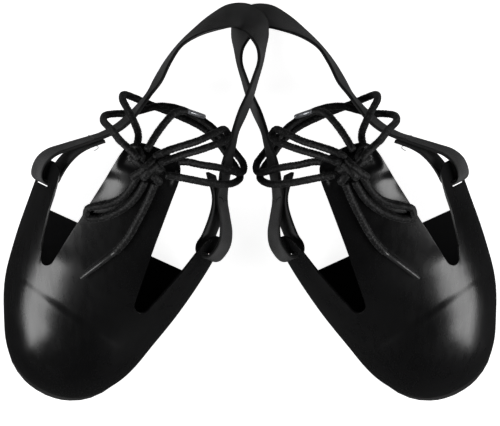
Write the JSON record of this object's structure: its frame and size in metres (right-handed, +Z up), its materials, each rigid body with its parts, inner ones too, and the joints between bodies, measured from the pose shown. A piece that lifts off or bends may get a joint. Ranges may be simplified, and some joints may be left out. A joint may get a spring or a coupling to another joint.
{
  "type": "slip-on toe guards",
  "caption": "Mirrored moulded rubber overshoes that guard the toes and instep, with steel toe caps, slotted side wings, elastic heel straps and tied round laces.",
  "frame": {"origin": "on the floor, at the middle of the pair's bounding box without the laces", "axes": "+Z up from the floor, +Y from the toes towards the heel straps, +X from the left guard to the right guard"},
  "size_m": [0.329, 0.266, 0.1216],
  "materials": {
    "shell_rubber": "satin",
    "sole_rubber": "matte",
    "strap_rubber": "matte",
    "cap_steel": "brushed",
    "edging": "matte",
    "insole_fabric": "woven",
    "lace": "braided",
    "thread": "twisted",
    "grey_sleeve": "glossy",
    "black_sleeve": "glossy"
  },
  "bodies": {
    "right_guard": {"right_outsole": "sole_rubber", "right_insole": "insole_fabric", "right_shell": "shell_rubber", "right_toe_cap": "cap_steel", "right_cap_edging": "edging", "right_outer_strap_leg": "strap_rubber", "right_inner_strap_leg": "strap_rubber", "right_outer_stitching": "thread", "right_inner_stitching": "thread", "right_lace_knot": "lace", "right_lace_ring_outer": "lace", "right_lace_ring_inner": "lace", "right_bow_loop_rear": "lace", "right_bow_loop_front": "lace", "right_lace_end_rear": "lace", "right_lace_end_front": "lace", "right_aglet_rear": "grey_sleeve", "right_aglet_front": "black_sleeve"},
    "right_strap": {"right_heel_strap": "strap_rubber"},
    "left_guard": {"left_outsole": "sole_rubber", "left_insole": "insole_fabric", "left_shell": "shell_rubber", "left_toe_cap": "cap_steel", "left_cap_edging": "edging", "left_outer_strap_leg": "strap_rubber", "left_inner_strap_leg": "strap_rubber", "left_outer_stitching": "thread", "left_inner_stitching": "thread", "left_lace_knot": "lace", "left_lace_ring_outer": "lace", "left_lace_ring_inner": "lace", "left_bow_loop_rear": "lace", "left_bow_loop_front": "lace", "left_lace_end_rear": "lace", "left_lace_end_front": "lace", "left_aglet_rear": "grey_sleeve", "left_aglet_front": "black_sleeve"},
    "left_strap": {"left_heel_strap": "strap_rubber"}
  },
  "joints": [
    {"name": "right_strap_swing", "type": "hinge", "parent": "right_guard", "child": "right_strap", "pos_m": [0.04909, 0.06414, 0.036], "axis": [0.91, 0.4147, 0], "range_deg": [0, 50]},
    {"name": "left_strap_swing", "type": "hinge", "parent": "left_guard", "child": "left_strap", "pos_m": [-0.04909, 0.06414, 0.046], "axis": [0.91, -0.4147, 0], "range_deg": [0, 50]},
    {"name": "left_guard_lift", "type": "slide", "parent": "right_guard", "child": "left_guard", "axis": [0, 0, 1], "range_m": [0, 0.2]}
  ],
  "couplings": [
    {"joint": "left_strap_swing", "follows": "right_strap_swing", "ratio": 1}
  ]
}
